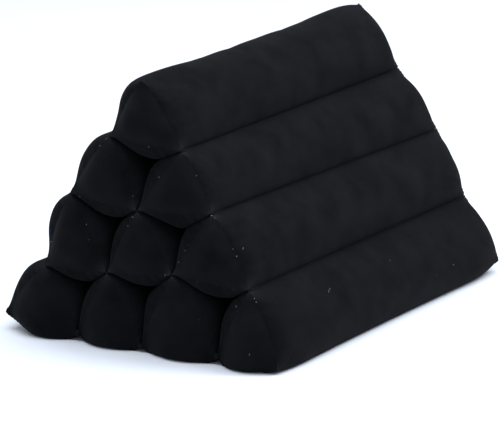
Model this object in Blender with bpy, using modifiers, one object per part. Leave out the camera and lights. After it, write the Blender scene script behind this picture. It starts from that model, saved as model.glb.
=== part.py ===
"""Thai triangle cushion: ten stuffed cotton tubes sewn together along their corner seams.

Seen from an end, the tubes are upright triangles in rows of 1, 2, 3 and 4, and the spaces between them
are six open triangles that stand on their points. The length runs along X, the front slope faces -Y,
the cushion rests on the plane z = 0, and the origin is under the middle of its box. Sizes are in metres.
"""
import math

import bmesh
import bpy
from mathutils import Vector

COLLECTION = "thai_triangle_cushion"
ROWS = 4

# Sizes of the whole cushion
LENGTH = 0.475            # between the two end seams
SEAM_GAP = 0.0003         # free space between neighbouring tubes
FLOOR = 0.0

# Rows of corner seams, from the ridge down: (height above the floor, half width of the row)
SEAM_ROWS = (
    (0.298, 0.000),
    (0.229, 0.044),
    (0.160, 0.088),
    (0.086, 0.132),
    (0.010, 0.176),
)

# How the stuffing has moved the corner seams from their even places, at the two ends of the tubes:
# (row, place from the front) -> (left y, left z, right y, right z)
SEAM_SHIFTS = {
    (0, 0): (-0.004, 0.000, 0.010, 0.003),
    (1, 0): (-0.009, -0.002, 0.001, -0.002),
    (1, 1): (-0.006, 0.004, 0.003, 0.001),
    (2, 0): (-0.001, 0.004, -0.006, 0.000),
    (2, 1): (0.005, -0.004, -0.002, 0.002),
    (2, 2): (0.003, 0.005, 0.001, -0.003),
    (3, 0): (-0.002, 0.002, 0.001, -0.001),
    (3, 1): (0.006, 0.006, -0.003, 0.002),
    (3, 2): (0.001, -0.003, 0.003, -0.002),
    (3, 3): (-0.006, -0.006, -0.002, 0.003),
    (4, 0): (0.008, -0.004, -0.002, 0.003),
    (4, 1): (-0.004, 0.001, 0.002, 0.000),
    (4, 2): (0.004, -0.002, -0.002, 0.001),
    (4, 3): (-0.002, 0.001, 0.003, -0.001),
    (4, 4): (0.005, 0.010, 0.001, 0.004),
}

# Crown of a wall over the straight line between its two corner seams, as a share of that line
OUTER_CROWN = 0.135       # walls on the two slopes
INNER_CROWN = 0.215       # walls that face an open space between tubes
BASE_CROWN = 0.240        # walls that the weight of the cushion presses flat on the floor
FREE_CORNER_SWELL = 0.005  # how far an unsewn corner stands out between its two ends

# Cross-sections from the left end to the right one: name, place along the tube, share of the crown,
# swell of the unsewn corners, size of the outline, share of the end puff
SECTIONS = (
    ("left panel", 0.000, 0.50, 0.0, 0.56, 0.90),
    ("left seam", 0.000, 0.60, 0.0, 1.00, 0.00),
    ("left shoulder", 0.035, 0.88, 0.4, 1.00, 0.00),
    ("left body", 0.160, 1.00, 1.0, 1.00, 0.00),
    ("middle", 0.500, 1.00, 1.0, 1.00, 0.00),
    ("right body", 0.840, 1.00, 1.0, 1.00, 0.00),
    ("right shoulder", 0.965, 0.88, 0.4, 1.00, 0.00),
    ("right seam", 1.000, 0.64, 0.0, 1.00, 0.00),
    ("right panel", 1.000, 0.50, 0.0, 0.56, 0.90),
)
END_PUFF = 0.021          # how far the middle of an end panel stands past its seam
SEAM_DRAW_IN = 0.006      # how far an end seam is drawn in half way between two corners

SPANS_PER_WALL = 4        # cage faces across each of a tube's three walls
SUBDIVISIONS = 1
SEAM_CREASE = 1.0

COTTON_COLOUR = (0.012, 0.012, 0.014, 1.0)
COTTON_ROUGHNESS = 0.85


def clear_scene():
    for thing in list(bpy.data.objects):
        bpy.data.objects.remove(thing, do_unlink=True)


def seam_node(row, place, along):
    """Where a corner seam crosses the section at a share along of the length, as (y, z)."""
    height, half_width = SEAM_ROWS[row]
    spread = 2.0 * place / row - 1.0 if row else 0.0
    left_y, left_z, right_y, right_z = SEAM_SHIFTS[(row, place)]
    shift_y = left_y + (right_y - left_y) * along
    shift_z = left_z + (right_z - left_z) * along
    return Vector((half_width * spread + shift_y, height + shift_z))


def tube_corners(row, tube):
    """The three corner seams of a tube: top, front and back."""
    return (row - 1, tube - 1), (row, tube - 1), (row, tube)


def tube_walls(row, tube):
    """The tube's walls in turn, each with its two corners, its crown and the open space it faces."""
    top, front, back = tube_corners(row, tube)
    front_gap = ((row - 1, tube - 2), (row - 1, tube - 1), (row, tube - 1)) if tube > 1 else None
    back_gap = ((row - 1, tube - 1), (row - 1, tube), (row, tube)) if tube < row else None
    base_gap = ((row, tube - 1), (row, tube), (row + 1, tube)) if row < ROWS else None
    return (
        (top, front, INNER_CROWN if front_gap else OUTER_CROWN, front_gap),
        (front, back, INNER_CROWN if base_gap else BASE_CROWN, base_gap),
        (back, top, INNER_CROWN if back_gap else OUTER_CROWN, back_gap),
    )


def is_free_corner(node):
    """The ridge and the two bottom edges are corners of one tube only, so nothing is sewn to them."""
    return node in ((0, 0), (ROWS, 0), (ROWS, ROWS))


def centre_of(nodes, along):
    return sum((seam_node(row, place, along) for row, place in nodes), Vector((0.0, 0.0))) / len(nodes)


def keep_in_cell(point, row, tube, along):
    """Stop a point of the section at the half way lines to the neighbouring tubes and at the floor."""
    middle = centre_of(tube_corners(row, tube), along)
    for start, end, _crown, gap in tube_walls(row, tube):
        if gap is None:
            continue
        gap_centre = centre_of(gap, along)
        for node in (start, end):
            corner = seam_node(*node, along)
            line = (gap_centre - corner).normalized()
            inward = Vector((-line.y, line.x))
            if inward.dot(middle - corner) < 0.0:
                inward.negate()
            room = inward.dot(point - corner) - 0.5 * SEAM_GAP
            if room < 0.0:
                point = point - inward * room
    point.y = max(point.y, FLOOR)
    return point


def section_point(row, tube, span, section):
    """One point of the cage: the span counts round the tube from its top corner, front wall first."""
    _name, along, fullness, swell, size, puff = section
    walls = tube_walls(row, tube)
    middle = centre_of(tube_corners(row, tube), along)
    start, end, crown, _gap = walls[span // SPANS_PER_WALL]
    share = (span % SPANS_PER_WALL) / SPANS_PER_WALL
    from_corner = seam_node(*start, along)
    to_corner = seam_node(*end, along)
    chord = to_corner - from_corner
    outward = Vector((chord.y, -chord.x)).normalized()
    if outward.dot(middle - from_corner) > 0.0:
        outward.negate()
    arch = 4.0 * share * (1.0 - share)
    point = from_corner + chord * share + outward * (chord.length * crown * fullness * arch)
    if share == 0.0 and is_free_corner(start):
        point += (from_corner - middle).normalized() * FREE_CORNER_SWELL * swell
    point = keep_in_cell(point, row, tube, along)
    point = middle + (point - middle) * size
    end_side = -1.0 if along < 0.5 else 1.0
    is_end = along in (0.0, 1.0)
    reach = END_PUFF * puff - (SEAM_DRAW_IN * arch * size if is_end else 0.0)
    return Vector((LENGTH * (along - 0.5) + end_side * reach, point.x, point.y))


def panel_centre(row, tube, along):
    middle = centre_of(tube_corners(row, tube), along)
    end_side = -1.0 if along < 0.5 else 1.0
    return Vector((LENGTH * (along - 0.5) + end_side * END_PUFF, middle.x, middle.y))


def tube_cage(name, row, tube):
    """A sphere's rings, its poles on X, become the end panels, the end seams and the tube's sections."""
    spans = 3 * SPANS_PER_WALL
    ring_step = math.pi / (len(SECTIONS) + 1)
    cage = bmesh.new()
    bmesh.ops.create_uvsphere(cage, u_segments=spans, v_segments=len(SECTIONS) + 1, radius=1.0)
    crease = cage.edges.layers.float.new("crease_edge")
    address = {}
    for vert in cage.verts:
        ring = round(math.acos(max(-1.0, min(1.0, -vert.co.z))) / ring_step)
        turn = math.atan2(vert.co.y, vert.co.x) % (2.0 * math.pi)
        address[vert] = (ring, round(turn / (2.0 * math.pi) * spans) % spans)
    for vert, (ring, span) in address.items():
        if ring == 0 or ring > len(SECTIONS):
            vert.co = panel_centre(row, tube, 0.0 if ring == 0 else 1.0)
        else:
            vert.co = section_point(row, tube, span, SECTIONS[ring - 1])
    seam_rings = (2, len(SECTIONS) - 1)
    corners = tube_corners(row, tube)
    for edge in cage.edges:
        (ring_a, span_a), (ring_b, span_b) = (address[vert] for vert in edge.verts)
        along_end_seam = ring_a == ring_b and ring_a in seam_rings
        on_wrap = min(ring_a, ring_b) >= seam_rings[0] and max(ring_a, ring_b) <= seam_rings[1]
        down_corner = span_a == span_b and span_a % SPANS_PER_WALL == 0 and on_wrap
        sewn = down_corner and not is_free_corner(corners[span_a // SPANS_PER_WALL])
        ear = down_corner and (ring_a in seam_rings or ring_b in seam_rings)
        if along_end_seam or sewn or ear:
            edge[crease] = SEAM_CREASE
    mesh = bpy.data.meshes.new(name)
    cage.to_mesh(mesh)
    cage.free()
    mesh.shade_smooth()
    return mesh


def cotton():
    material = bpy.data.materials.new("black_cotton")
    material.use_nodes = True
    shader = material.node_tree.nodes["Principled BSDF"]
    shader.inputs["Base Color"].default_value = COTTON_COLOUR
    shader.inputs["Roughness"].default_value = COTTON_ROUGHNESS
    shader.inputs["Metallic"].default_value = 0.0
    material.diffuse_color = COTTON_COLOUR
    return material


def add_tube(row, tube, material, collection, parent):
    name = f"row{row}_tube{tube}"
    mesh = tube_cage(name, row, tube)
    mesh.materials.append(material)
    body = bpy.data.objects.new(name, mesh)
    body.parent = parent
    collection.objects.link(body)
    soften = body.modifiers.new("soft form", "SUBSURF")
    soften.levels = SUBDIVISIONS
    soften.render_levels = SUBDIVISIONS
    soften.use_limit_surface = False
    return body


def centre_on_origin(tubes, parent):
    """Move the whole cushion so that the middle of its box stands over the origin."""
    bpy.context.view_layer.update()
    depsgraph = bpy.context.evaluated_depsgraph_get()
    corners = []
    for tube in tubes:
        shape = tube.evaluated_get(depsgraph)
        corners.extend(shape.matrix_world @ vert.co for vert in shape.data.vertices)
    for axis in (0, 1):
        places = [corner[axis] for corner in corners]
        parent.location[axis] = -0.5 * (min(places) + max(places))
    bpy.context.view_layer.update()


def build():
    clear_scene()
    collection = bpy.data.collections.new(COLLECTION)
    bpy.context.scene.collection.children.link(collection)
    whole = bpy.data.objects.new("cushion_root", None)
    collection.objects.link(whole)
    material = cotton()
    tubes = [
        add_tube(row, tube, material, collection, whole)
        for row in range(1, ROWS + 1)
        for tube in range(1, row + 1)
    ]
    centre_on_origin(tubes, whole)


build()
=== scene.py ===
"""Looks of a Thai triangle cushion: ten stuffed cotton tubes, their joins, loose lint and a plain stage.

Laid out as an add-on and run as a script. Everything is in metres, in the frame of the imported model:
the tubes run along X, the front slope faces -Y, and the cushion stands on z = 0.
"""
import math

import bpy
import numpy as np
from mathutils import Matrix, Vector


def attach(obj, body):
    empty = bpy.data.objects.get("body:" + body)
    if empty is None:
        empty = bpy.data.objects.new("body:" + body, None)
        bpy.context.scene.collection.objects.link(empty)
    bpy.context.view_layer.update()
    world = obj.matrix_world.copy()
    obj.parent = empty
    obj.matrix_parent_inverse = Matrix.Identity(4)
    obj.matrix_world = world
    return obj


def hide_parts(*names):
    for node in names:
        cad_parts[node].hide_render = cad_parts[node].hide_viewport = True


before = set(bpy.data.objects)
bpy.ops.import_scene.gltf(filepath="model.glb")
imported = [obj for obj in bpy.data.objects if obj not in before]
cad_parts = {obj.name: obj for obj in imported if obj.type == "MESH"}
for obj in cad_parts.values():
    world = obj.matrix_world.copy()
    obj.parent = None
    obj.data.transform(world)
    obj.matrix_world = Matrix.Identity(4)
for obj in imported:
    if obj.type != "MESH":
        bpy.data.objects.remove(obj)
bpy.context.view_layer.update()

bl_info = {
    "name": "Thai triangle cushion",
    "version": (1, 0, 0),
    "blender": (4, 5, 0),
    "location": "3D View > Sidebar > Cushion",
    "description": "Stuffs, joins and finishes the ten tubes of a triangle cushion, and sets a plain stage",
    "category": "Object",
}

BODY = "root"
ROWS = 4
TUBES = [(row, tube) for row in range(1, ROWS + 1) for tube in range(1, row + 1)]

WALLS = 3
FRONT, BASE, BACK = range(WALLS)
FREE_CORNERS = ((0, 0), (ROWS, 0), (ROWS, ROWS))
SEAM_GAP = 0.0003         # free space between neighbouring tubes
WALL_WIDTH = 0.088        # of a tube's wall, from corner seam to corner seam
FLOOR_CLEARANCE = 0.003   # cloth below this height gets no stitches or lint
WHOLE = 1.0 - 1e-6        # a share above this counts as 1


# ---------------------------------------------------------------- the corner seams, read from the frame

def node_name(row, tube):
    return f"row{row}_tube{tube}"


def tube_corners(row, tube):
    """A tube's three corner seams: top, front and back."""
    return (row - 1, tube - 1), (row, tube - 1), (row, tube)


def wall_spaces(row, tube):
    """The open space that each wall faces, as its three seams: front, base and back wall, or None outside."""
    front = ((row - 1, tube - 2), (row - 1, tube - 1), (row, tube - 1)) if tube > 1 else None
    base = ((row, tube - 1), (row, tube), (row + 1, tube)) if row < ROWS else None
    back = ((row - 1, tube - 1), (row - 1, tube), (row, tube)) if tube < row else None
    return front, base, back


def mesh_points(mesh):
    flat = np.empty(len(mesh.vertices) * 3)
    mesh.vertices.foreach_get("co", flat)
    return flat.reshape(-1, 3)


def read_seams():
    """Where each corner seam ends at the left and at the right, read from the corners of the CAD solids."""
    corner_ways = ((0.0, 1.0), (-0.87, -0.5), (0.87, -0.5))
    outer_share = 0.3
    found = {}
    for row, tube in TUBES:
        points = mesh_points(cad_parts[node_name(row, tube)].data)
        for seam, (way_y, way_z) in zip(tube_corners(row, tube), corner_ways):
            for end in (-1.0, 1.0):
                side = points[points[:, 0] * end > 0.0]
                score = side[:, 1] * way_y + side[:, 2] * way_z + side[:, 0] * end * outer_share
                found.setdefault((seam, end), []).append(side[np.argmax(score)])
    return {key: np.mean(corners, axis=0) for key, corners in found.items()}


SEAMS = read_seams()
LEFT_X = float(np.mean([point[0] for (_seam, end), point in SEAMS.items() if end < 0.0]))
RIGHT_X = float(np.mean([point[0] for (_seam, end), point in SEAMS.items() if end > 0.0]))
TUBE_LENGTH = RIGHT_X - LEFT_X


def seam_at(seam, x):
    """A corner seam's (y, z) at each x."""
    share = ((np.asarray(x, float) - LEFT_X) / TUBE_LENGTH)[..., None]
    return SEAMS[(seam, -1.0)][1:] * (1.0 - share) + SEAMS[(seam, 1.0)][1:] * share


def centre_at(seams, x):
    return sum(seam_at(seam, x) for seam in seams) / len(seams)


def keep_in_cell(points, row, tube):
    """Stops a tube's cloth half way to its neighbours and at the floor."""
    x = points[:, 0]
    section = points[:, 1:].copy()
    corners = tube_corners(row, tube)
    middle = centre_at(corners, x)
    for _again in range(2):
        for wall, space in enumerate(wall_spaces(row, tube)):
            if space is None:
                continue
            space_centre = centre_at(space, x)
            for seam in (corners[wall], corners[(wall + 1) % WALLS]):
                corner = seam_at(seam, x)
                line = space_centre - corner
                line /= np.linalg.norm(line, axis=1)[:, None]
                inward = np.stack((-line[:, 1], line[:, 0]), axis=1)
                inward *= np.sign(np.sum(inward * (middle - corner), axis=1))[:, None]
                room = np.sum(inward * (section - corner), axis=1) - 0.5 * SEAM_GAP
                section -= inward * np.minimum(room, 0.0)[:, None]
    section[:, 1] = np.maximum(section[:, 1], 0.0)
    return np.column_stack((x, section))


# ---------------------------------------------------------------- the cut and sewn cover of a tube

class Cover:
    """A tube's cloth: a wrap of three walls and two three-cornered end panels, as points and faces."""

    def __init__(self, row, tube, settings):
        self.row = row
        self.tube = tube
        self.corners = tube_corners(row, tube)
        self.spans = settings.wall_spans
        self.ring_size = WALLS * self.spans
        self.ring_places = self.places_along(settings)
        self.rings = len(self.ring_places)
        self.points = []
        self.shares = []
        self.faces = []
        self.face_piece = []
        self.make_wrap()
        self.make_panel(0)
        self.make_panel(self.rings - 1)
        self.points = np.array(self.points)
        self.shares = np.array(self.shares)

    def places_along(self, settings):
        """Where the wrap's rings stand along X: closer together on the round shoulders at the ends."""
        turns = np.linspace(0.0, 0.5 * math.pi, settings.shoulder_rings + 1)
        near_end = settings.shoulder * (1.0 - np.cos(turns))
        plain = TUBE_LENGTH - 2.0 * settings.shoulder
        count = round(plain / (WALL_WIDTH / self.spans))
        middle = settings.shoulder + plain * np.arange(1, count) / count
        return LEFT_X + np.concatenate((near_end, middle, TUBE_LENGTH - near_end[::-1]))

    def add_point(self, x, shares):
        section = sum(share * seam_at(seam, x) for share, seam in zip(shares, self.corners))
        self.points.append((x, section[0], section[1]))
        self.shares.append(shares)
        return len(self.points) - 1

    def make_wrap(self):
        for x in self.ring_places:
            for wall in range(WALLS):
                for span in range(self.spans):
                    shares = [0.0, 0.0, 0.0]
                    shares[wall] = 1.0 - span / self.spans
                    shares[(wall + 1) % WALLS] = span / self.spans
                    self.add_point(x, shares)
        for ring in range(self.rings - 1):
            for span in range(self.ring_size):
                here = ring * self.ring_size + span
                beside = ring * self.ring_size + (span + 1) % self.ring_size
                self.faces.append((here, beside, beside + self.ring_size, here + self.ring_size))
                self.face_piece.append(0)

    def make_panel(self, ring):
        """An even three-cornered grid whose edge points are the wrap's last ring."""
        spans = self.spans
        first = ring * self.ring_size
        x = LEFT_X if ring == 0 else RIGHT_X
        at = {}
        for front in range(spans + 1):
            for back in range(spans + 1 - front):
                top = spans - front - back
                if back == 0:
                    at[front, back] = first + front
                elif top == 0:
                    at[front, back] = first + spans + back
                elif front == 0:
                    at[front, back] = first + (2 * spans + top) % self.ring_size
                else:
                    at[front, back] = self.add_point(x, (top / spans, front / spans, back / spans))
        for front in range(spans):
            for back in range(spans - front):
                corners = [(at[front, back], at[front + 1, back], at[front, back + 1])]
                if back < spans - front - 1:
                    corners.append((at[front + 1, back], at[front + 1, back + 1], at[front, back + 1]))
                for corner in corners:
                    self.faces.append(corner[::-1] if ring == 0 else corner)
                    self.face_piece.append(1 if ring == 0 else 2)

    def ring_of(self, corner):
        """The points of the wrap that lie on a corner seam, from left to right."""
        return [ring * self.ring_size + corner * self.spans for ring in range(self.rings)]

    def end_rings(self):
        last = (self.rings - 1) * self.ring_size
        return [first + span for first in (0, last) for span in range(self.ring_size)]

    def is_wrap(self):
        return np.arange(len(self.points)) < self.rings * self.ring_size


def way_from_end(cover):
    """How far each point of the wrap is from the nearer end."""
    return 0.5 * TUBE_LENGTH - np.abs(cover.points[:, 0] - 0.5 * (LEFT_X + RIGHT_X))


def is_tied(seam):
    """Whether tubes of two rows meet at a corner seam, which is tied off with thread at both ends."""
    return seam not in FREE_CORNERS and seam[0] < ROWS


def wall_crown(cover, wall, settings):
    """How far a wall stands out between its seams, along the tube and at its end seams, as shares."""
    outer = {FRONT: "front", BASE: "base", BACK: "back"}[wall]
    kind = "inner" if wall_spaces(cover.row, cover.tube)[wall] else outer
    crown = getattr(settings, f"{kind}_crown")
    return crown, crown * getattr(settings, f"{kind}_seam_bow")


def wall_arch(cover, wall, settings):
    """How full each point of a wall is: 0 on its two seams, and about 1 half way between them."""
    here, there = cover.shares[:, wall], cover.shares[:, (wall + 1) % WALLS]
    arch = 4.0 * here * there
    if wall == FRONT or wall_spaces(cover.row, cover.tube)[wall]:
        return arch
    if wall == BACK:
        return arch * (1.0 + settings.back_lean * (there - here))
    _top, front, back = (corner in FREE_CORNERS for corner in cover.corners)
    return arch ** settings.base_fullness * (1.0 + (front - back) * settings.base_lean * (there - here))


def cut_points(cover, settings):
    """The cover as it is cut and sewn: crowned walls, round shoulders, domed ends."""
    dome_power, free_corner_zone, end_share, tiny = 0.8, 0.45, 0.9, 1e-9
    x = cover.points[:, 0]
    side = np.sign(x - 0.5 * (LEFT_X + RIGHT_X))
    from_end = way_from_end(cover)
    short = 1.0 - np.clip(from_end / settings.shoulder, 0.0, 1.0)
    swell = np.sqrt(1.0 - short ** 2)
    middle = centre_at(cover.corners, x)
    section = cover.points[:, 1:].copy()
    arches = np.zeros_like(x)
    for wall in range(WALLS):
        start, end = seam_at(cover.corners[wall], x), seam_at(cover.corners[(wall + 1) % WALLS], x)
        outward = np.stack((end[:, 1] - start[:, 1], start[:, 0] - end[:, 0]), axis=1)
        outward *= -np.sign(np.sum(outward * (middle - start), axis=1))[:, None]
        arch = wall_arch(cover, wall, settings)
        crown, bow = wall_crown(cover, wall, settings)
        section += outward * ((bow + (crown - bow) * swell) * arch)[:, None]
        arches += arch
    dome = WALLS ** 3 * cover.shares.prod(axis=1) * ~cover.is_wrap()
    bulge = np.where(side > 0.0, settings.right_seam_bulge, settings.left_seam_bulge)
    tie_reach = np.where(side > 0.0, settings.right_tie_reach, settings.left_tie_reach)
    along = x + side * (settings.panel_dome * dome ** dome_power + bulge * arches * short ** 2)
    for corner, seam in enumerate(cover.corners):
        share = cover.shares[:, corner]
        reach = tie_reach * is_tied(seam)
        if seam in FREE_CORNERS:
            reach = settings.ear_reach
            away = seam_at(seam, x) - middle
            away /= np.linalg.norm(away, axis=1)[:, None]
            near = nearness(share, free_corner_zone) ** 2
            swollen = np.clip(from_end / settings.free_swell_zone, 0.0, 1.0)
            section += away * (settings.free_swell * near * swollen * (2.0 - swollen))[:, None]
        along += side * reach * (share > WHOLE) * (short > WHOLE)
    cut = np.column_stack((along, section))
    outward = np.column_stack((side * (short > end_share), section - middle))
    outward /= np.linalg.norm(outward, axis=1)[:, None] + tiny
    lumps = settings.unevenness * soft_unevenness(cut, cover)
    return cut + outward * lumps[:, None] * loose_mask(cover)[:, None]


def soft_unevenness(points, cover):
    """Lumps and dents of hand filling, about as wide as a thumb to a palm."""
    uneven = np.random.default_rng(100 + 10 * cover.row + cover.tube)
    waves, thumb, palm = 14, 0.03, 0.11
    total = np.zeros(len(points))
    for _wave in range(waves):
        way = uneven.normal(size=3)
        way *= math.tau / (uneven.uniform(thumb, palm) * np.linalg.norm(way))
        total += np.cos(points @ way + uneven.uniform(0.0, math.tau))
    return total * math.sqrt(2.0 / waves)


def nearness(share, zone):
    """1 where a share is 1, falling to 0 where it is less by the whole zone."""
    return np.clip((share - (1.0 - zone)) / zone, 0.0, 1.0)


def loose_mask(cover):
    """1 in the middle of the cloth, falling to 0 on the corner seams."""
    corner_zone = 0.4
    return 1.0 - nearness(cover.shares.max(axis=1), corner_zone)


# ---------------------------------------------------------------- stuffing and smoothing

COTTON_CLOTH = {
    "mass": 0.1,
    "tension_stiffness": 20.0,
    "compression_stiffness": 20.0,
    "shear_stiffness": 7.0,
    "tension_damping": 5.0,
    "compression_damping": 5.0,
    "shear_damping": 5.0,
    "use_pressure": True,
}


def piece_of(mesh, name):
    piece = bpy.data.objects.new(name, mesh)
    bpy.context.scene.collection.objects.link(piece)
    return piece


def new_piece(name, points, edges, faces):
    mesh = bpy.data.meshes.new(name)
    mesh.from_pydata(points, edges, faces)
    return piece_of(mesh, name)


def finished_piece(rough, name):
    """What a rough object's modifier makes of it, as a piece that takes its place."""
    depsgraph = bpy.context.evaluated_depsgraph_get()
    shaped = rough.evaluated_get(depsgraph)
    mesh = bpy.data.meshes.new_from_object(shaped, preserve_all_data_layers=True, depsgraph=depsgraph)
    mesh.name = name
    bpy.data.objects.remove(rough)
    return piece_of(mesh, name)


def held_points(cover):
    held = []
    for corner, seam in enumerate(cover.corners):
        line = cover.ring_of(corner)
        held.extend((line[0], line[-1]) if seam in FREE_CORNERS else line)
    return held


def stuff(cover, settings):
    """Blows the cover up with the cloth simulation, its corner seams held. Returns the points."""
    body = new_piece("cover_cloth", cut_points(cover, settings).tolist(), [], cover.faces)
    held = body.vertex_groups.new(name="held")
    held.add(held_points(cover), 1.0, "REPLACE")
    gathered = body.vertex_groups.new(name="gathered")
    gathered.add(cover.end_rings(), 1.0, "REPLACE")
    cloth = body.modifiers.new("cloth", "CLOTH")
    fabric = cloth.settings
    for name, value in COTTON_CLOTH.items():
        setattr(fabric, name, value)
    fabric.quality = settings.cloth_quality
    fabric.bending_stiffness = settings.cloth_bending
    fabric.uniform_pressure_force = settings.stuffing_pressure
    fabric.vertex_group_mass = held.name
    fabric.vertex_group_shrink = gathered.name
    fabric.shrink_max = settings.seam_gather
    fabric.effector_weights.gravity = 0.0
    cloth.collision_settings.use_collision = False
    frames = settings.settle_frames
    cloth.point_cache.frame_start = 1
    cloth.point_cache.frame_end = frames
    for step in range(1, frames + 1):
        bpy.context.scene.frame_set(step)
    mesh = body.data
    points = mesh_points(body.evaluated_get(bpy.context.evaluated_depsgraph_get()).data)
    bpy.data.objects.remove(body)
    bpy.data.meshes.remove(mesh)
    bpy.context.scene.frame_set(1)
    return points


def edge_table(cover):
    edges = set()
    for face in cover.faces:
        for here, there in zip(face, face[1:] + face[:1]):
            edges.add((min(here, there), max(here, there)))
    return np.array(sorted(edges))


def smooth_seams(points, cover, rounds):
    """Evens out each end seam along itself, between two corners."""
    pull_in, push_out = 0.5, -0.53
    for first in (0, (cover.rings - 1) * cover.ring_size):
        for wall in range(WALLS):
            steps = np.arange(wall * cover.spans, (wall + 1) * cover.spans + 1) % cover.ring_size
            line = points[first + steps]
            for _round in range(rounds):
                for strength in (pull_in, push_out):
                    line[1:-1] += strength * (0.5 * (line[:-2] + line[2:]) - line[1:-1])
            points[first + steps[1:-1]] = line[1:-1]
    return points


def smooth_cloth(points, cover, rounds):
    """Takes the sharp small folds out of firmly stuffed cloth between its seams."""
    edges = edge_table(cover)
    both_ways = np.concatenate((edges, edges[:, ::-1]))
    number = np.bincount(both_ways[:, 0], minlength=len(points))[:, None]
    loose = np.ones(len(points), bool)
    loose[cover.end_rings()] = False
    loose[held_points(cover)] = False
    for _round in range(rounds):
        total = np.zeros_like(points)
        np.add.at(total, both_ways[:, 0], points[both_ways[:, 1]])
        points[loose] += 0.5 * (total / number - points)[loose]
    return points


def add_cloth_map(mesh, cover):
    """A UV map in metres of cloth, so that a weave runs along and across the wrap and each panel."""
    step = WALL_WIDTH / cover.spans
    values = []
    for face, piece in zip(cover.faces, cover.face_piece):
        if piece == 0:
            first, ring = face[0] % cover.ring_size, face[0] // cover.ring_size
            for column, line in ((0, 0), (1, 0), (1, 1), (0, 1)):
                values.append(((first + column) * step, (ring + line) * step))
        else:
            for corner in face:
                _top, front, back = cover.shares[corner]
                across = (back - front) * 0.5 * cover.spans * step + piece
                values.append((across, (front + back) * cover.spans * step))
    mesh.uv_layers.new(name="cloth").data.foreach_set("uv", np.ravel(values))


def set_marks(mesh, name, domain, values):
    """Stores a number with each point or edge of a mesh."""
    marks = mesh.attributes.new(name, "FLOAT", domain)
    marks.data.foreach_set("value", np.asarray(values, np.float32))


def mark_end_seams(mesh, cover, sharpness):
    """Marks the end seams, and keeps them as edges when the cloth is made finer."""
    ends = cover.end_rings()
    half = len(ends) // 2
    pairs = set()
    for ring in (ends[:half], ends[half:]):
        pairs.update(tuple(sorted(pair)) for pair in zip(ring, ring[1:] + ring[:1]))
    on_seam = np.array([tuple(sorted(pair)) in pairs for pair in mesh.edge_keys])
    mesh.attributes.new("sharp_edge", "BOOLEAN", "EDGE").data.foreach_set("value", on_seam)
    set_marks(mesh, "crease_edge", "EDGE", on_seam * sharpness)
    set_marks(mesh, "end_seam", "EDGE", on_seam)
    near = np.zeros(len(mesh.vertices))
    near[ends] = 1.0
    set_marks(mesh, "near_seam", "POINT", near)
    beyond = 0.2
    set_marks(mesh, "from_seam", "POINT", np.where(cover.is_wrap(), way_from_end(cover), beyond))
    places = mesh_points(mesh)
    ties = [places[cover.ring_of(corner)[end]] for corner, seam in enumerate(cover.corners)
            if is_tied(seam) for end in (0, -1)]
    ways = [np.linalg.norm(places - tie, axis=1) for tie in ties]
    set_marks(mesh, "from_tie", "POINT", np.min(ways, axis=0))


def seam_shares(mesh):
    shares = np.empty(len(mesh.edges), np.float32)
    mesh.attributes["end_seam"].data.foreach_get("value", shares)
    return shares


def finished_cover(row, tube, settings, material):
    cover = Cover(row, tube, settings)
    points = stuff(cover, settings)
    points = smooth_seams(points, cover, settings.seam_rounds)
    points = smooth_cloth(points, cover, settings.smooth_rounds)
    points = keep_in_cell(points, row, tube)
    name = f"cover_row{row}_tube{tube}"
    rough = new_piece(name, points.tolist(), [], cover.faces)
    rough.data.shade_smooth()
    add_cloth_map(rough.data, cover)
    mark_end_seams(rough.data, cover, settings.seam_crease)
    rough.data.materials.append(material)
    finer = rough.modifiers.new("finer cloth", "SUBSURF")
    finer.levels = 1
    finer.render_levels = 1
    return finished_piece(rough, name)


# ---------------------------------------------------------------- finishes

def set_inputs(tree, node, values):
    """Links a node's inputs to other sockets, or sets them to plain values. A colour has three numbers."""
    for name, value in values:
        socket = node.inputs[name]
        if isinstance(value, bpy.types.NodeSocket):
            tree.links.new(value, socket)
        elif socket.type == "RGBA":
            socket.default_value = (*value, 1.0)
        else:
            socket.default_value = value


def add_node(tree, kind, values=(), **properties):
    """Adds a node to a tree, with its properties and its inputs by name or place. Returns its outputs."""
    node = tree.nodes.new(kind)
    for name, value in properties.items():
        setattr(node, name, value)
    set_inputs(tree, node, values)
    return node.outputs


def add_sockets(tree, in_out, sockets):
    """Gives a node group its named sockets: (name, kind, default). Returns their identifiers."""
    made = {}
    for label, kind, default in sockets:
        socket = tree.interface.new_socket(label, in_out=in_out, socket_type=f"NodeSocket{kind}")
        if default is not None:
            socket.default_value = default
        made[label] = socket.identifier
    return made


def socket_name(label):
    return label.replace("_", " ").capitalize()


def new_group(name, inputs, outputs):
    """A shader node group. Returns it, its given values and its result."""
    group = bpy.data.node_groups.new(name, "ShaderNodeTree")
    add_sockets(group, "INPUT", inputs)
    add_sockets(group, "OUTPUT", [(label, "Float", None) for label in outputs])
    return group, group.nodes.new("NodeGroupInput").outputs, group.nodes.new("NodeGroupOutput")


def math_node(tree, operation, *values, clamp=False):
    return add_node(tree, "ShaderNodeMath", enumerate(values), operation=operation, use_clamp=clamp)[0]


def noise(tree, vector, scale, detail=2.0, roughness=0.5):
    values = [("Vector", vector), ("Scale", scale), ("Detail", detail), ("Roughness", roughness)]
    return add_node(tree, "ShaderNodeTexNoise", values)["Fac"]


def bump(tree, height, strength, depth, *normal):
    """A bump that stands up to a depth in metres, on top of another bump's normal where one is given."""
    values = [("Height", height), ("Strength", strength), ("Distance", depth)]
    values.extend(("Normal", below) for below in normal)
    return add_node(tree, "ShaderNodeBump", values)["Normal"]


def mix_colours(tree, share, dark, light):
    values = [("A", dark), ("B", light), ("Factor", share)]
    return add_node(tree, "ShaderNodeMix", values, data_type="RGBA")["Result"]


def attribute(tree, name):
    return add_node(tree, "ShaderNodeAttribute", attribute_name=name)["Fac"]


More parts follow.
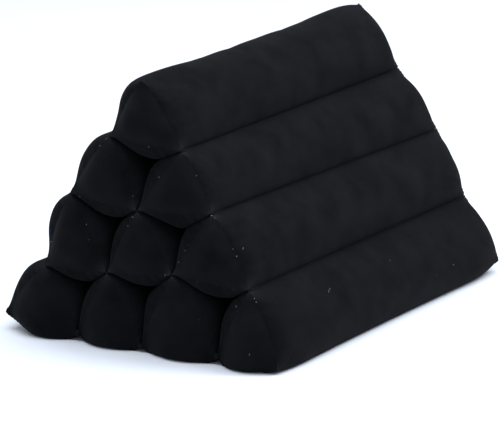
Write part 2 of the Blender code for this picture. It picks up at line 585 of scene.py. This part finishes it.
def weave_group():
    """Plain weave: rows of warp and weft that pass over and under each other, as a height."""
    group, given, result = new_group(
        "plain weave", (("Cloth position", "Vector", None), ("Threads per metre", "Float", 2200.0)), ("Height",))
    split = add_node(group, "ShaderNodeSeparateXYZ", [(0, given["Cloth position"])])
    turns = math_node(group, "MULTIPLY", given["Threads per metre"], math.pi)
    across = math_node(group, "SINE", math_node(group, "MULTIPLY", split["X"], turns))
    along = math_node(group, "SINE", math_node(group, "MULTIPLY", split["Y"], turns))
    height = math_node(group, "ABSOLUTE", math_node(group, "MULTIPLY", across, along))
    set_inputs(group, result, [("Height", height)])
    return group


def gather_group():
    """Small folds that run into an end seam and fade away from it, as a height."""
    group, given, result = new_group(
        "gathers at a seam",
        (("Cloth position", "Vector", None), ("Way from seam", "Float", 0.0), ("Fold width", "Float", 0.014),
         ("Reach", "Float", 0.018)),
        ("Height",))
    wander, wander_scale = 14.0, 45.0
    patch_scale, patchiness = 14.0, 1.5
    place = given["Cloth position"]
    stray = noise(group, place, wander_scale)
    across = add_node(group, "ShaderNodeSeparateXYZ", [(0, place)])["X"]
    folds = math_node(group, "DIVIDE", across, given["Fold width"])
    phase = math_node(group, "ADD", math_node(group, "MULTIPLY", folds, math.tau),
                      math_node(group, "MULTIPLY", stray, wander))
    wave = math_node(group, "MULTIPLY_ADD", math_node(group, "SINE", phase), 0.5, 0.5)
    away = math_node(group, "DIVIDE", given["Way from seam"], given["Reach"])
    fade = math_node(group, "EXPONENT", math_node(group, "MULTIPLY", away, -1.0))
    some = math_node(group, "POWER", noise(group, place, patch_scale, detail=1.0), patchiness)
    height = math_node(group, "MULTIPLY", wave, math_node(group, "MULTIPLY", fade, some))
    set_inputs(group, result, [("Height", height)])
    return group


def tone_and_painted_shade_group():
    """Soft patches of tone, used on the black cotton as painted crease shading: a share that varies softly over the
    cloth, with finer fluff on top.
    """
    group, given, result = new_group(
        "uneven dye", (("Position", "Vector", None), ("Patch size", "Float", 0.05)), ("Share", "Fluff"))
    fluff_scale = 900.0
    scale = math_node(group, "DIVIDE", 1.0, given["Patch size"])
    patches = noise(group, given["Position"], scale, detail=4.0, roughness=0.6)
    fluff = noise(group, given["Position"], fluff_scale, detail=3.0, roughness=0.7)
    set_inputs(group, result, [("Share", patches), ("Fluff", fluff)])
    return group


MADE_GROUPS = {}


def place_group(tree, make, **values):
    """Places the shader node group that a function makes, built once, with this material's values."""
    if make.__name__ not in MADE_GROUPS:
        MADE_GROUPS[make.__name__] = make()
    inputs = [(socket_name(label), value) for label, value in values.items()]
    return add_node(tree, "ShaderNodeGroup", inputs, node_tree=MADE_GROUPS[make.__name__])


def blank_material(name):
    material = bpy.data.materials.new(name)
    material.use_nodes = True
    tree = material.node_tree
    return material, tree, tree.nodes["Principled BSDF"]


def cotton_material(finish):
    material, tree, shader = blank_material("black_cotton_cloth")
    place = add_node(tree, "ShaderNodeTexCoord")["Object"]
    on_cloth = add_node(tree, "ShaderNodeUVMap", uv_map="cloth")["UV"]
    # Painted crease shading: soft patches over the cloth lighten the black cotton, standing in for the light and
    # shade of small creases.
    tone_and_shade_patches = place_group(tree, tone_and_painted_shade_group, position=place, patch_size=finish.patch_size)
    woven = place_group(tree, weave_group, cloth_position=on_cloth)
    folded = place_group(tree, gather_group, cloth_position=on_cloth, way_from_seam=attribute(tree, "from_seam"))

    # The patches mix the cotton's own black with a lighter painted shade; the fine fluff adds small flecks.
    patchiness, fleck, threshold = 2.4, 0.7, 1.05
    patches = math_node(tree, "MULTIPLY", tone_and_shade_patches["Share"], patchiness)
    flecks = math_node(tree, "MULTIPLY", tone_and_shade_patches["Fluff"], fleck)
    share = math_node(tree, "SUBTRACT", math_node(tree, "ADD", patches, flecks), threshold, clamp=True)
    tone_and_painted_shade = mix_colours(tree, share, finish.cotton_dark, finish.cotton_painted_light)
    # Painted highlight: close to each tie the cloth colour is mixed towards a lighter black, standing in for light
    # caught by the gathered cloth there.
    way = math_node(tree, "DIVIDE", attribute(tree, "from_tie"), -finish.tie_highlight_reach)
    painted_tie_highlight = mix_colours(tree, math_node(tree, "EXPONENT", way), tone_and_painted_shade, finish.cotton_tie_highlight)

    fluff_height, thread_depth, crease_scale, crease_depth = 0.6, 0.00012, 55.0, 0.0015
    fleece = math_node(tree, "MULTIPLY", tone_and_shade_patches["Fluff"], fluff_height)
    fine = bump(tree, math_node(tree, "ADD", woven["Height"], fleece), 0.35, thread_depth)
    creased = bump(tree, noise(tree, place, crease_scale, detail=3.0), 0.25, crease_depth, fine)
    set_inputs(tree, shader, [
        ("Base Color", painted_tie_highlight),
        ("Roughness", math_node(tree, "MULTIPLY_ADD", tone_and_shade_patches["Share"], -0.2, 0.95)),
        ("Specular IOR Level", 0.05),
        ("Sheen Weight", finish.sheen),
        ("Sheen Roughness", 0.45),
        ("Sheen Tint", (0.8, 0.87, 1.0)),
        ("Normal", bump(tree, folded["Height"], 0.8, finish.gather_depth, creased)),
    ])
    return material


def dyed_material(name, patch_size, dark, light, roughness):
    """A plain material whose colour varies in small patches."""
    material, tree, shader = blank_material(name)
    place = add_node(tree, "ShaderNodeTexCoord")["Object"]
    tone_and_shade_patches = place_group(tree, tone_and_painted_shade_group, position=place, patch_size=patch_size)
    colour = mix_colours(tree, tone_and_shade_patches["Share"], dark, light)
    set_inputs(tree, shader, [("Base Color", colour), ("Roughness", roughness)])
    return material, tree, shader, tone_and_shade_patches


def thread_material(name, finish):
    material, tree, shader, tone_and_shade_patches = dyed_material(name, 0.004, finish.cotton_dark, finish.thread_light, 0.8)
    twist = bump(tree, tone_and_shade_patches["Fluff"], 0.4, 0.0002)
    set_inputs(tree, shader, [("Specular IOR Level", 0.1), ("Normal", twist)])
    return material


def lint_material(finish):
    return dyed_material("pale_lint", 0.01, finish.lint_dark, finish.lint_light, 0.9)[0]


# ---------------------------------------------------------------- joins, stitches and lint

def sewn_seams():
    return sorted({seam for seam, _end in SEAMS} - set(FREE_CORNERS))


def inward_of(seam):
    """The way a seam allowance is folded, as (y, z): into the valley on a slope, down at the base."""
    row, place = seam
    way_y = (place == 0) - (place == row)
    way_z = -0.6 * abs(way_y) if row < ROWS else -1.0
    return np.array((float(way_y), way_z)) / max(math.hypot(way_y, way_z), 1.0)


def join_rods(trim, cut):
    """Folded strips of seam allowance that fill the corner between the tubes, as points and faces."""
    uneven = np.random.default_rng(7)
    steps, sides = 64, 8
    twisting, roughness = 0.12, 0.06
    end_depth, depth_step = 0.35, 0.2
    end_size, size_step = 0.75, 0.1
    points, faces = [], []
    for seam in sewn_seams():
        first = len(points)
        whole_size = trim.join_radius if seam[0] < ROWS else trim.base_join_radius
        left = LEFT_X - cut.left_tie_reach + trim.join_inset
        right = RIGHT_X + cut.right_tie_reach - trim.join_inset
        x = np.linspace(left, right, steps)
        from_ends = np.minimum(np.arange(steps), np.arange(steps)[::-1])
        depth = trim.join_depth * np.minimum(1.0, end_depth + depth_step * from_ends)
        centre = seam_at(seam, x) + depth[:, None] * inward_of(seam)
        twist = np.cumsum(uneven.normal(0.0, twisting, steps))
        for step in range(steps):
            size = whole_size * min(1.0, end_size + size_step * from_ends[step])
            for side in range(sides):
                angle = math.tau * side / sides + twist[step]
                radius = size * (1.0 + uneven.normal(0.0, roughness))
                height = max(centre[step][1] + radius * math.sin(angle), 0.0)
                points.append((x[step], centre[step][0] + radius * math.cos(angle), height))
        for step in range(steps - 1):
            for side in range(sides):
                here = first + step * sides + side
                beside = first + step * sides + (side + 1) % sides
                faces.append((here, beside, beside + sides, here + sides))
        faces.append(tuple(first + side for side in reversed(range(sides))))
        faces.append(tuple(first + (steps - 1) * sides + side for side in range(sides)))
    return points, faces


def end_seam_lines(covers, lift):
    """The end seams of the finished covers as lines that lie just outside the cloth."""
    points, edges = [], []
    for cover in covers:
        mesh = cover.data
        found = {}
        for edge, share in zip(mesh.edges, seam_shares(mesh)):
            if share < 0.5 or mesh.vertices[edge.vertices[0]].co.z < FLOOR_CLEARANCE:
                continue
            ends = []
            for index in edge.vertices:
                if index not in found:
                    found[index] = len(points)
                    vertex = mesh.vertices[index]
                    points.append(vertex.co + vertex.normal * lift)
                ends.append(found[index])
            edges.append(ends)
    return points, edges


class NodeLine:
    """A Geometry Nodes tree with named inputs."""

    def __init__(self, name, inputs):
        self.tree = bpy.data.node_groups.new(name, "GeometryNodeTree")
        shape = (("Geometry", "Geometry", None),)
        self.sockets = add_sockets(self.tree, "INPUT", (*shape, *inputs))
        add_sockets(self.tree, "OUTPUT", shape)
        self.given = self.tree.nodes.new("NodeGroupInput").outputs
        self.result = self.tree.nodes.new("NodeGroupOutput")

    def node(self, kind, *values, **properties):
        """Adds a node. Returns its outputs."""
        return add_node(self.tree, kind, values, **properties)

    def random(self, low, high):
        """A value for each point: a number between two numbers, or a vector between two vectors."""
        kind, first, output = ("FLOAT", 2, 1) if isinstance(low, float) else ("FLOAT_VECTOR", 0, 0)
        return self.node("FunctionNodeRandomValue", (first, low), (first + 1, high), ("Seed", self.given["Seed"]),
                         data_type=kind)[output]

    def scaled(self, vector, scale):
        return self.node("ShaderNodeVectorMath", (0, vector), ("Scale", scale), operation="SCALE")[0]

    def finish(self, instances):
        real = self.node("GeometryNodeRealizeInstances", (0, instances))[0]
        smooth = self.node("GeometryNodeSetShadeSmooth", (0, real))[0]
        painted = self.node("GeometryNodeSetMaterial", (0, smooth), ("Material", self.given["Material"]))[0]
        set_inputs(self.tree, self.result, [(0, painted)])
        return self

    def grow(self, base, **values):
        """Runs the tree on a rough piece, and returns its result as the finished piece."""
        name = base.name
        modifier = base.modifiers.new("grow", "NODES")
        modifier.node_group = self.tree
        for label, value in values.items():
            modifier[self.sockets[socket_name(label)]] = value
        piece = finished_piece(base, name)
        if not piece.data.polygons:
            raise RuntimeError(f"{name} came out empty")
        return piece


def stitch_tree():
    """Stitches laid end to end along lines."""
    line = NodeLine("stitches along a seam", (
        ("Pitch", "Float", 0.0045),
        ("Length", "Float", 0.0032),
        ("Width", "Float", 0.0006),
        ("Kept share", "Float", 1.0),
        ("Slant", "Float", 0.1),
        ("Seed", "Int", 1),
        ("Material", "Material", None),
    ))
    given = line.given
    thinnest, thickest = 0.75, 1.2
    curve = line.node("GeometryNodeMeshToCurve", (0, given["Geometry"]))[0]
    even = line.node("GeometryNodeResampleCurve", ("Curve", curve), ("Length", given["Pitch"]), mode="LENGTH")[0]
    shape = line.node("GeometryNodeMeshUVSphere", ("Segments", 6), ("Rings", 5), ("Radius", 0.5))["Mesh"]
    kept = line.node("FunctionNodeRandomValue", ("Probability", given["Kept share"]), ("Seed", given["Seed"]),
                     data_type="BOOLEAN")[3]
    tangent = line.node("GeometryNodeInputTangent")[0]
    slant = line.scaled((1.0, 1.0, 1.0), given["Slant"])
    stray = line.random(line.scaled(slant, -1.0), slant)
    way = line.node("ShaderNodeVectorMath", (0, tangent), (1, stray), operation="ADD")[0]
    turn = line.node("FunctionNodeAlignRotationToVector", ("Vector", way), axis="X")[0]
    size = line.node("ShaderNodeCombineXYZ", (0, given["Length"]), (1, given["Width"]), (2, given["Width"]))[0]
    scale = line.scaled(size, line.random(thinnest, thickest))
    return line.finish(line.node(
        "GeometryNodeInstanceOnPoints",
        ("Points", even), ("Selection", kept), ("Instance", shape), ("Rotation", turn), ("Scale", scale))[0])


def lint_tree():
    """Short bent fibres that lie on the cloth, more of them beside the end seams."""
    line = NodeLine("loose lint", (
        ("Density", "Float", 60.0),
        ("Seam density", "Float", 900.0),
        ("Fibre length", "Float", 0.0022),
        ("Fibre thickness", "Float", 0.00022),
        ("Seed", "Int", 3),
        ("Material", "Material", None),
    ))
    given = line.given
    bend, tilt = 1.3, 0.3
    shortest, longest = 0.35, 1.1
    near = line.node("GeometryNodeInputNamedAttribute", ("Name", "near_seam"), data_type="FLOAT")[0]
    density = math_node(line.tree, "ADD", math_node(line.tree, "MULTIPLY", near, given["Seam density"]),
                        given["Density"])
    spread = line.node("GeometryNodeDistributePointsOnFaces", ("Mesh", given["Geometry"]), ("Density", density),
                       ("Seed", given["Seed"]))
    arc = line.node("GeometryNodeCurveArc", ("Resolution", 5), ("Radius", given["Fibre length"]),
                    ("Sweep Angle", bend))[0]
    ring = line.node("GeometryNodeCurvePrimitiveCircle", ("Resolution", 4), ("Radius", given["Fibre thickness"]))[0]
    fibre = line.node("GeometryNodeCurveToMesh", ("Curve", arc), ("Profile Curve", ring), ("Fill Caps", True))[0]
    spin = line.random((-tilt, -tilt, 0.0), (tilt, tilt, math.tau))
    spun = line.node("FunctionNodeEulerToRotation", (0, spin))[0]
    turn = line.node("FunctionNodeRotateRotation", ("Rotation", spread["Rotation"]), ("Rotate By", spun),
                     rotation_space="LOCAL")[0]
    return line.finish(line.node(
        "GeometryNodeInstanceOnPoints",
        ("Points", spread["Points"]), ("Instance", fibre), ("Rotation", turn),
        ("Scale", line.random(shortest, longest)))[0])


def joined_covers(covers, name):
    """A rough piece of all covers off the floor, with their near_seam marks."""
    points, faces, near = [], [], []
    for cover in covers:
        mesh = cover.data
        first = len(points)
        points.extend(vertex.co.copy() for vertex in mesh.vertices)
        faces.extend([first + index for index in polygon.vertices] for polygon in mesh.polygons
                     if polygon.center.z > FLOOR_CLEARANCE)
        near.extend(item.value for item in mesh.attributes["near_seam"].data)
    whole = new_piece(name, points, [], faces)
    set_marks(whole.data, "near_seam", "POINT", near)
    return whole


# ---------------------------------------------------------------- settings

def length(name, description, default, precision=4):
    return bpy.props.FloatProperty(
        name=name, description=description, default=default, subtype="DISTANCE", unit="LENGTH", precision=precision)


def share(name, description, default):
    return bpy.props.FloatProperty(
        name=name, description=description, default=default, subtype="FACTOR", min=0.0, max=1.0)


def number(name, description, default):
    return bpy.props.FloatProperty(name=name, description=description, default=default)


def count(name, description, default, least):
    return bpy.props.IntProperty(name=name, description=description, default=default, min=least)


def colour(name, description, *default):
    return bpy.props.FloatVectorProperty(
        name=name, description=description, default=default, subtype="COLOR", min=0.0, max=1.0)


def angle(name, description, degrees):
    return bpy.props.FloatProperty(
        name=name, description=description, default=math.radians(degrees), subtype="ANGLE", unit="ROTATION")


class CoverSettings(bpy.types.PropertyGroup):
    """How the tubes' covers are cut and stuffed."""
    wall_spans: count("Wall spans", "Cloth grid steps across one wall of a tube", 14, 6)
    shoulder_rings: count("Shoulder rings", "Cloth grid steps round a shoulder", 6, 3)
    inner_crown: number("Inner crown", "Crown of a wall that faces other tubes, as a share of its width", 0.235)
    front_crown: number("Front crown", "Crown of a wall on the front slope, as a share of its width", 0.17)
    back_crown: number("Back crown", "Crown of a wall on the back slope, as a share of its width", 0.23)
    base_crown: number("Base crown", "Crown of a wall on the floor before it is pressed flat, as a share", 0.3)
    back_lean: number("Back lean", "How much fuller a back wall is above than below", 0.45)
    base_fullness: number("Base fullness", "Power of a base wall's crown: below 1 it is fuller by its corners", 0.6)
    base_lean: number("Base lean", "How much fuller a base wall is by its sewn corner than by a free one", 0.7)
    inner_seam_bow: share("Inner seam bow", "How much of an inner wall's crown its end seam already has", 0.13)
    base_seam_bow: share("Base seam bow", "How much of a base wall's crown its end seam already has", 0.85)
    front_seam_bow: share("Front seam bow", "How much of a front wall's crown its end seam already has", 0.38)
    back_seam_bow: share("Back seam bow", "How much of a back wall's crown its end seam already has", 0.2)
    shoulder: length("Shoulder", "Length over which a tube swells to its full section", 0.018)
    free_swell: length("Free swell", "How far a corner that is sewn to nothing swells out", 0.006)
    free_swell_zone: length("Free swell zone", "Length over which such a corner swells", 0.06)
    left_seam_bulge: length(
        "Left seam bulge", "How far a left end seam stands out half way between its tied corners", 0.002)
    right_seam_bulge: length(
        "Right seam bulge", "How far a right end seam stands out half way between its tied corners", 0.0065)
    panel_dome: length("Panel dome", "How far the middle of an end panel stands out past its seam", 0.015)
    ear_reach: length("Ear reach", "How far an unsewn corner stands past the end seams", 0.003)
    left_tie_reach: length("Left tie reach", "How far the tied corners stand past the left end seams", 0.0025)
    right_tie_reach: length("Right tie reach", "How far the tied corners stand past the right end seams", 0.006)
    unevenness: length("Unevenness", "Depth of the lumps and dents of hand filling", 0.0009, precision=5)
    seam_gather: number("Seam gather", "How much the end seams draw the cloth together", 0.02)
    stuffing_pressure: number("Stuffing pressure", "Pressure of the filling on the cloth", 30.0)
    cloth_bending: number("Cloth bending", "Bending stiffness of the cloth", 5.0)
    cloth_quality: count("Cloth quality", "Simulation steps in a frame", 6, 1)
    quick_frames: count("Quick frames", "Frames of the simulation for a quick look", 4, 2)
    settle_frames: count("Settle frames", "Frames in which the stuffed cloth comes to rest", 16, 4)
    seam_rounds: count("Seam rounds", "Rounds of smoothing along the end seams", 12, 0)
    smooth_rounds: count("Cloth rounds", "Rounds of smoothing of the cloth between the seams", 2, 0)
    seam_crease: share("Seam crease", "Sharpness of the end seams in the finer cloth", 1.0)
    fill: share("Fill", "How full the tubes are, from slack to tight", 0.9)


class TrimSettings(bpy.types.PropertyGroup):
    """Corner joins, stitches and lint."""
    join_radius: length("Join radius", "Half width of the folded cloth in a corner join", 0.002)
    base_join_radius: length(
        "Base join radius", "Half the thickness of a folded seam allowance on the floor", 0.0044)
    join_depth: length("Join depth", "How deep a corner join lies behind a seam on the outside", 0.0038)
    join_inset: length("Join inset", "How far a corner join ends inside the end seams", 0.0005)
    stitch_pitch: length("Stitch pitch", "Way from one stitch to the next", 0.0042)
    stitch_length: length("Stitch length", "Length of a stitch that shows", 0.0026)
    stitch_width: length("Stitch width", "Thickness of the sewing thread", 0.0006)
    speck_share: share("Speck share", "Share of the end seam stitches with a pale speck of kapok", 0.03)
    lint_density: number("Lint density", "Fibres on a square metre of plain cloth", 60.0)
    seam_lint_density: number("Seam lint density", "Further fibres on a square metre beside the end seams", 700.0)


class FinishSettings(bpy.types.PropertyGroup):
    """Colours and sheen."""
    # The first colour is the cloth's own black; the second is the lighter end of the painted crease shading.
    cotton_dark: colour("Cotton, dark", "Black cotton where the dye is deepest", 0.0022, 0.0023, 0.003)
    cotton_painted_light: colour("Cotton, light", "Black cotton where it is rubbed", 0.005, 0.0052, 0.0065)
    # Colour of the painted highlight on the gathered cloth round each tie.
    cotton_tie_highlight: colour("Cotton, worn", "Black cotton where it is strained round a tie", 0.019, 0.0195, 0.0215)
    thread_light: colour("Thread, light", "Lightest part of the sewing thread", 0.003, 0.003, 0.0035)
    lint_dark: colour("Lint, dark", "Darkest lint", 0.12, 0.12, 0.115)
    lint_light: colour("Lint, light", "Palest lint", 0.4, 0.39, 0.37)
    # How far the painted highlight reaches from a tie.
    tie_highlight_reach: length("Strain size", "How far the strained cloth reaches from a tie", 0.0055)
    sheen: share("Sheen", "Strength of the cotton's soft sheen", 0.013)
    gather_depth: length("Gather depth", "Depth of the small folds that run into the end seams", 0.0024)
    # Size of the patches of painted crease shading on the cotton.
    patch_size: length("Patch size", "Size of the patches of uneven dye", 0.035)


class StageSettings(bpy.types.PropertyGroup):
    """Floor, light and camera."""
    floor_size: length("Floor size", "Width of the plain floor", 30.0)
    floor_colour: colour("Floor colour", "Pale, slightly cool floor", 0.81, 0.86, 0.95)
    lens: number("Lens", "Focal length of the camera, in millimetres", 230.6)
    camera_place: bpy.props.FloatVectorProperty(
        name="Camera place", description="Where the camera stands", default=(-2.9614, -1.8262, 0.9822),
        subtype="TRANSLATION", unit="LENGTH")
    camera_azimuth: angle("Camera azimuth", "Turn of the camera round Z, from looking along +Y", -58.18)
    camera_elevation: angle("Camera elevation", "Height angle of the camera", 14.2)
    camera_roll: angle("Camera roll", "Tilt of the camera about its view", -0.54)


# ---------------------------------------------------------------- operators

def put_on_body(piece):
    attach(piece, BODY)


def made_covers():
    covers = [bpy.data.objects.get(f"cover_row{row}_tube{tube}") for row, tube in TUBES]
    if None in covers:
        raise RuntimeError("the tubes are stuffed before they are sewn")
    return covers


class CUSHION_OT_stuff_tubes(bpy.types.Operator):
    """Cut, stuff and smooth the covers of the ten tubes"""
    bl_idname = "cushion.stuff_tubes"
    bl_label = "Stuff tubes"

    def execute(self, context):
        settings = context.scene.cushion_cover
        cotton = cotton_material(context.scene.cushion_finish)
        least_faces = 1000
        for row, tube in TUBES:
            piece = finished_cover(row, tube, settings, cotton)
            if len(piece.data.polygons) < least_faces:
                raise RuntimeError(f"the cover of tube {tube} in row {row} was not made")
            put_on_body(piece)
            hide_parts(node_name(row, tube))
        return {"FINISHED"}


class CUSHION_OT_join_tubes(bpy.types.Operator):
    """Fold the seam allowances into the corners where tubes meet"""
    bl_idname = "cushion.join_tubes"
    bl_label = "Join tubes"

    def execute(self, context):
        points, faces = join_rods(context.scene.cushion_trim, context.scene.cushion_cover)
        piece = new_piece("corner_joins", points, [], faces)
        piece.data.shade_smooth()
        piece.data.materials.append(thread_material("folded_seam", context.scene.cushion_finish))
        put_on_body(piece)
        return {"FINISHED"}


class CUSHION_OT_sew_ends(bpy.types.Operator):
    """Sew the end panels to the tubes with stitches, with a few pale specks along the end seams"""
    bl_idname = "cushion.sew_ends"
    bl_label = "Sew ends"

    def execute(self, context):
        trim = context.scene.cushion_trim
        thread = thread_material("black_thread", context.scene.cushion_finish)
        lint = lint_material(context.scene.cushion_finish)
        thread_lift, speck_lift = 0.1 * trim.stitch_width, 0.6 * trim.stitch_width
        tree = stitch_tree()
        seams = new_piece("end_stitches", *end_seam_lines(made_covers(), thread_lift), [])
        put_on_body(tree.grow(
            seams, Pitch=trim.stitch_pitch, Length=trim.stitch_length, Width=trim.stitch_width, Seed=4,
            Material=thread))
        seams = new_piece("seam_specks", *end_seam_lines(made_covers(), speck_lift), [])
        put_on_body(tree.grow(
            seams, Pitch=trim.stitch_pitch, Length=0.5 * trim.stitch_length, Width=trim.stitch_width,
            Kept_share=trim.speck_share, Slant=0.8, Seed=9, Material=lint))
        return {"FINISHED"}


class CUSHION_OT_scatter_lint(bpy.types.Operator):
    """Leave a little loose lint on the cloth"""
    bl_idname = "cushion.scatter_lint"
    bl_label = "Scatter lint"

    def execute(self, context):
        trim = context.scene.cushion_trim
        put_on_body(lint_tree().grow(
            joined_covers(made_covers(), "loose_lint"), Density=trim.lint_density,
            Seam_density=trim.seam_lint_density, Seed=3, Material=bpy.data.materials["pale_lint"]))
        return {"FINISHED"}


def area_light(name, place, target, size, power, colour):
    data = bpy.data.lights.new(name, "AREA")
    data.shape = "DISK"
    data.size = size
    data.energy = power
    data.color = colour
    lamp = piece_of(data, name)
    lamp.location = place
    lamp.rotation_euler = (Vector(target) - Vector(place)).to_track_quat("-Z", "Y").to_euler()


class CUSHION_OT_stage(bpy.types.Operator):
    """Set the floor, the soft light and the camera"""
    bl_idname = "cushion.stage"
    bl_label = "Set stage"

    def execute(self, context):
        stage = context.scene.cushion_stage
        half = 0.5 * stage.floor_size
        corners = [(-half, -half, 0.0), (half, -half, 0.0), (half, half, 0.0), (-half, half, 0.0)]
        floor = new_piece("stage_floor", corners, [], [(0, 1, 2, 3)])
        material, tree, shader = blank_material("pale_floor")
        set_inputs(tree, shader, [
            ("Base Color", stage.floor_colour), ("Roughness", 0.6), ("Specular IOR Level", 0.2)])
        floor.data.materials.append(material)
        area_light("key_light", place=(1.1, -1.9, 2.9), target=(0.0, 0.0, 0.1), size=2.4, power=84.0,
                   colour=(1.0, 1.0, 1.0))
        area_light("top_light", place=(-0.6, 0.0, 3.2), target=(0.0, 0.0, 0.0), size=3.0, power=86.0,
                   colour=(0.95, 0.97, 1.0))
        world = bpy.data.worlds.new("studio_air")
        context.scene.world = world
        world.use_nodes = True
        set_inputs(world.node_tree, world.node_tree.nodes["Background"], [
            ("Color", (0.93, 0.96, 1.0)), ("Strength", 0.66)])
        self.add_camera(context.scene, stage)
        context.scene.view_settings.view_transform = "Standard"
        return {"FINISHED"}

    @staticmethod
    def add_camera(scene, stage):
        azimuth, elevation, roll = stage.camera_azimuth, stage.camera_elevation, stage.camera_roll
        back = Vector((math.sin(azimuth) * math.cos(elevation), -math.cos(azimuth) * math.cos(elevation),
                       math.sin(elevation)))
        level = Vector((math.cos(azimuth), math.sin(azimuth), 0.0))
        upright = back.cross(level)
        right = level * math.cos(roll) + upright * math.sin(roll)
        up = upright * math.cos(roll) - level * math.sin(roll)
        data = bpy.data.cameras.new("camera")
        data.lens = stage.lens
        data.sensor_width = 36.0
        data.sensor_fit = "HORIZONTAL"
        camera = piece_of(data, "camera")
        turned = Matrix((right, up, back)).transposed().to_4x4()
        camera.matrix_world = Matrix.Translation(stage.camera_place) @ turned
        scene.camera = camera


class CUSHION_PT_panel(bpy.types.Panel):
    """Lists the steps that make the cushion"""
    bl_idname = "CUSHION_PT_panel"
    bl_label = "Triangle cushion"
    bl_space_type = "VIEW_3D"
    bl_region_type = "UI"
    bl_category = "Cushion"

    def draw(self, context):
        column = self.layout.column()
        for operator in OPERATORS:
            column.operator(operator.bl_idname)


SETTINGS = (
    ("cushion_cover", CoverSettings),
    ("cushion_trim", TrimSettings),
    ("cushion_finish", FinishSettings),
    ("cushion_stage", StageSettings),
)
OPERATORS = (
    CUSHION_OT_stage,
    CUSHION_OT_stuff_tubes,
    CUSHION_OT_join_tubes,
    CUSHION_OT_sew_ends,
    CUSHION_OT_scatter_lint,
)


def register():
    for name, group in SETTINGS:
        bpy.utils.register_class(group)
        setattr(bpy.types.Scene, name, bpy.props.PointerProperty(type=group))
    for operator in OPERATORS:
        bpy.utils.register_class(operator)
    bpy.utils.register_class(CUSHION_PT_panel)


def unregister():
    bpy.utils.unregister_class(CUSHION_PT_panel)
    for operator in reversed(OPERATORS):
        bpy.utils.unregister_class(operator)
    for name, group in reversed(SETTINGS):
        delattr(bpy.types.Scene, name)
        bpy.utils.unregister_class(group)


def main():
    register()
    bpy.ops.cushion.stage()
    bpy.ops.cushion.stuff_tubes()
    bpy.ops.cushion.join_tubes()
    bpy.ops.cushion.sew_ends()
    bpy.ops.cushion.scatter_lint()


if __name__ == "__main__":
    main()
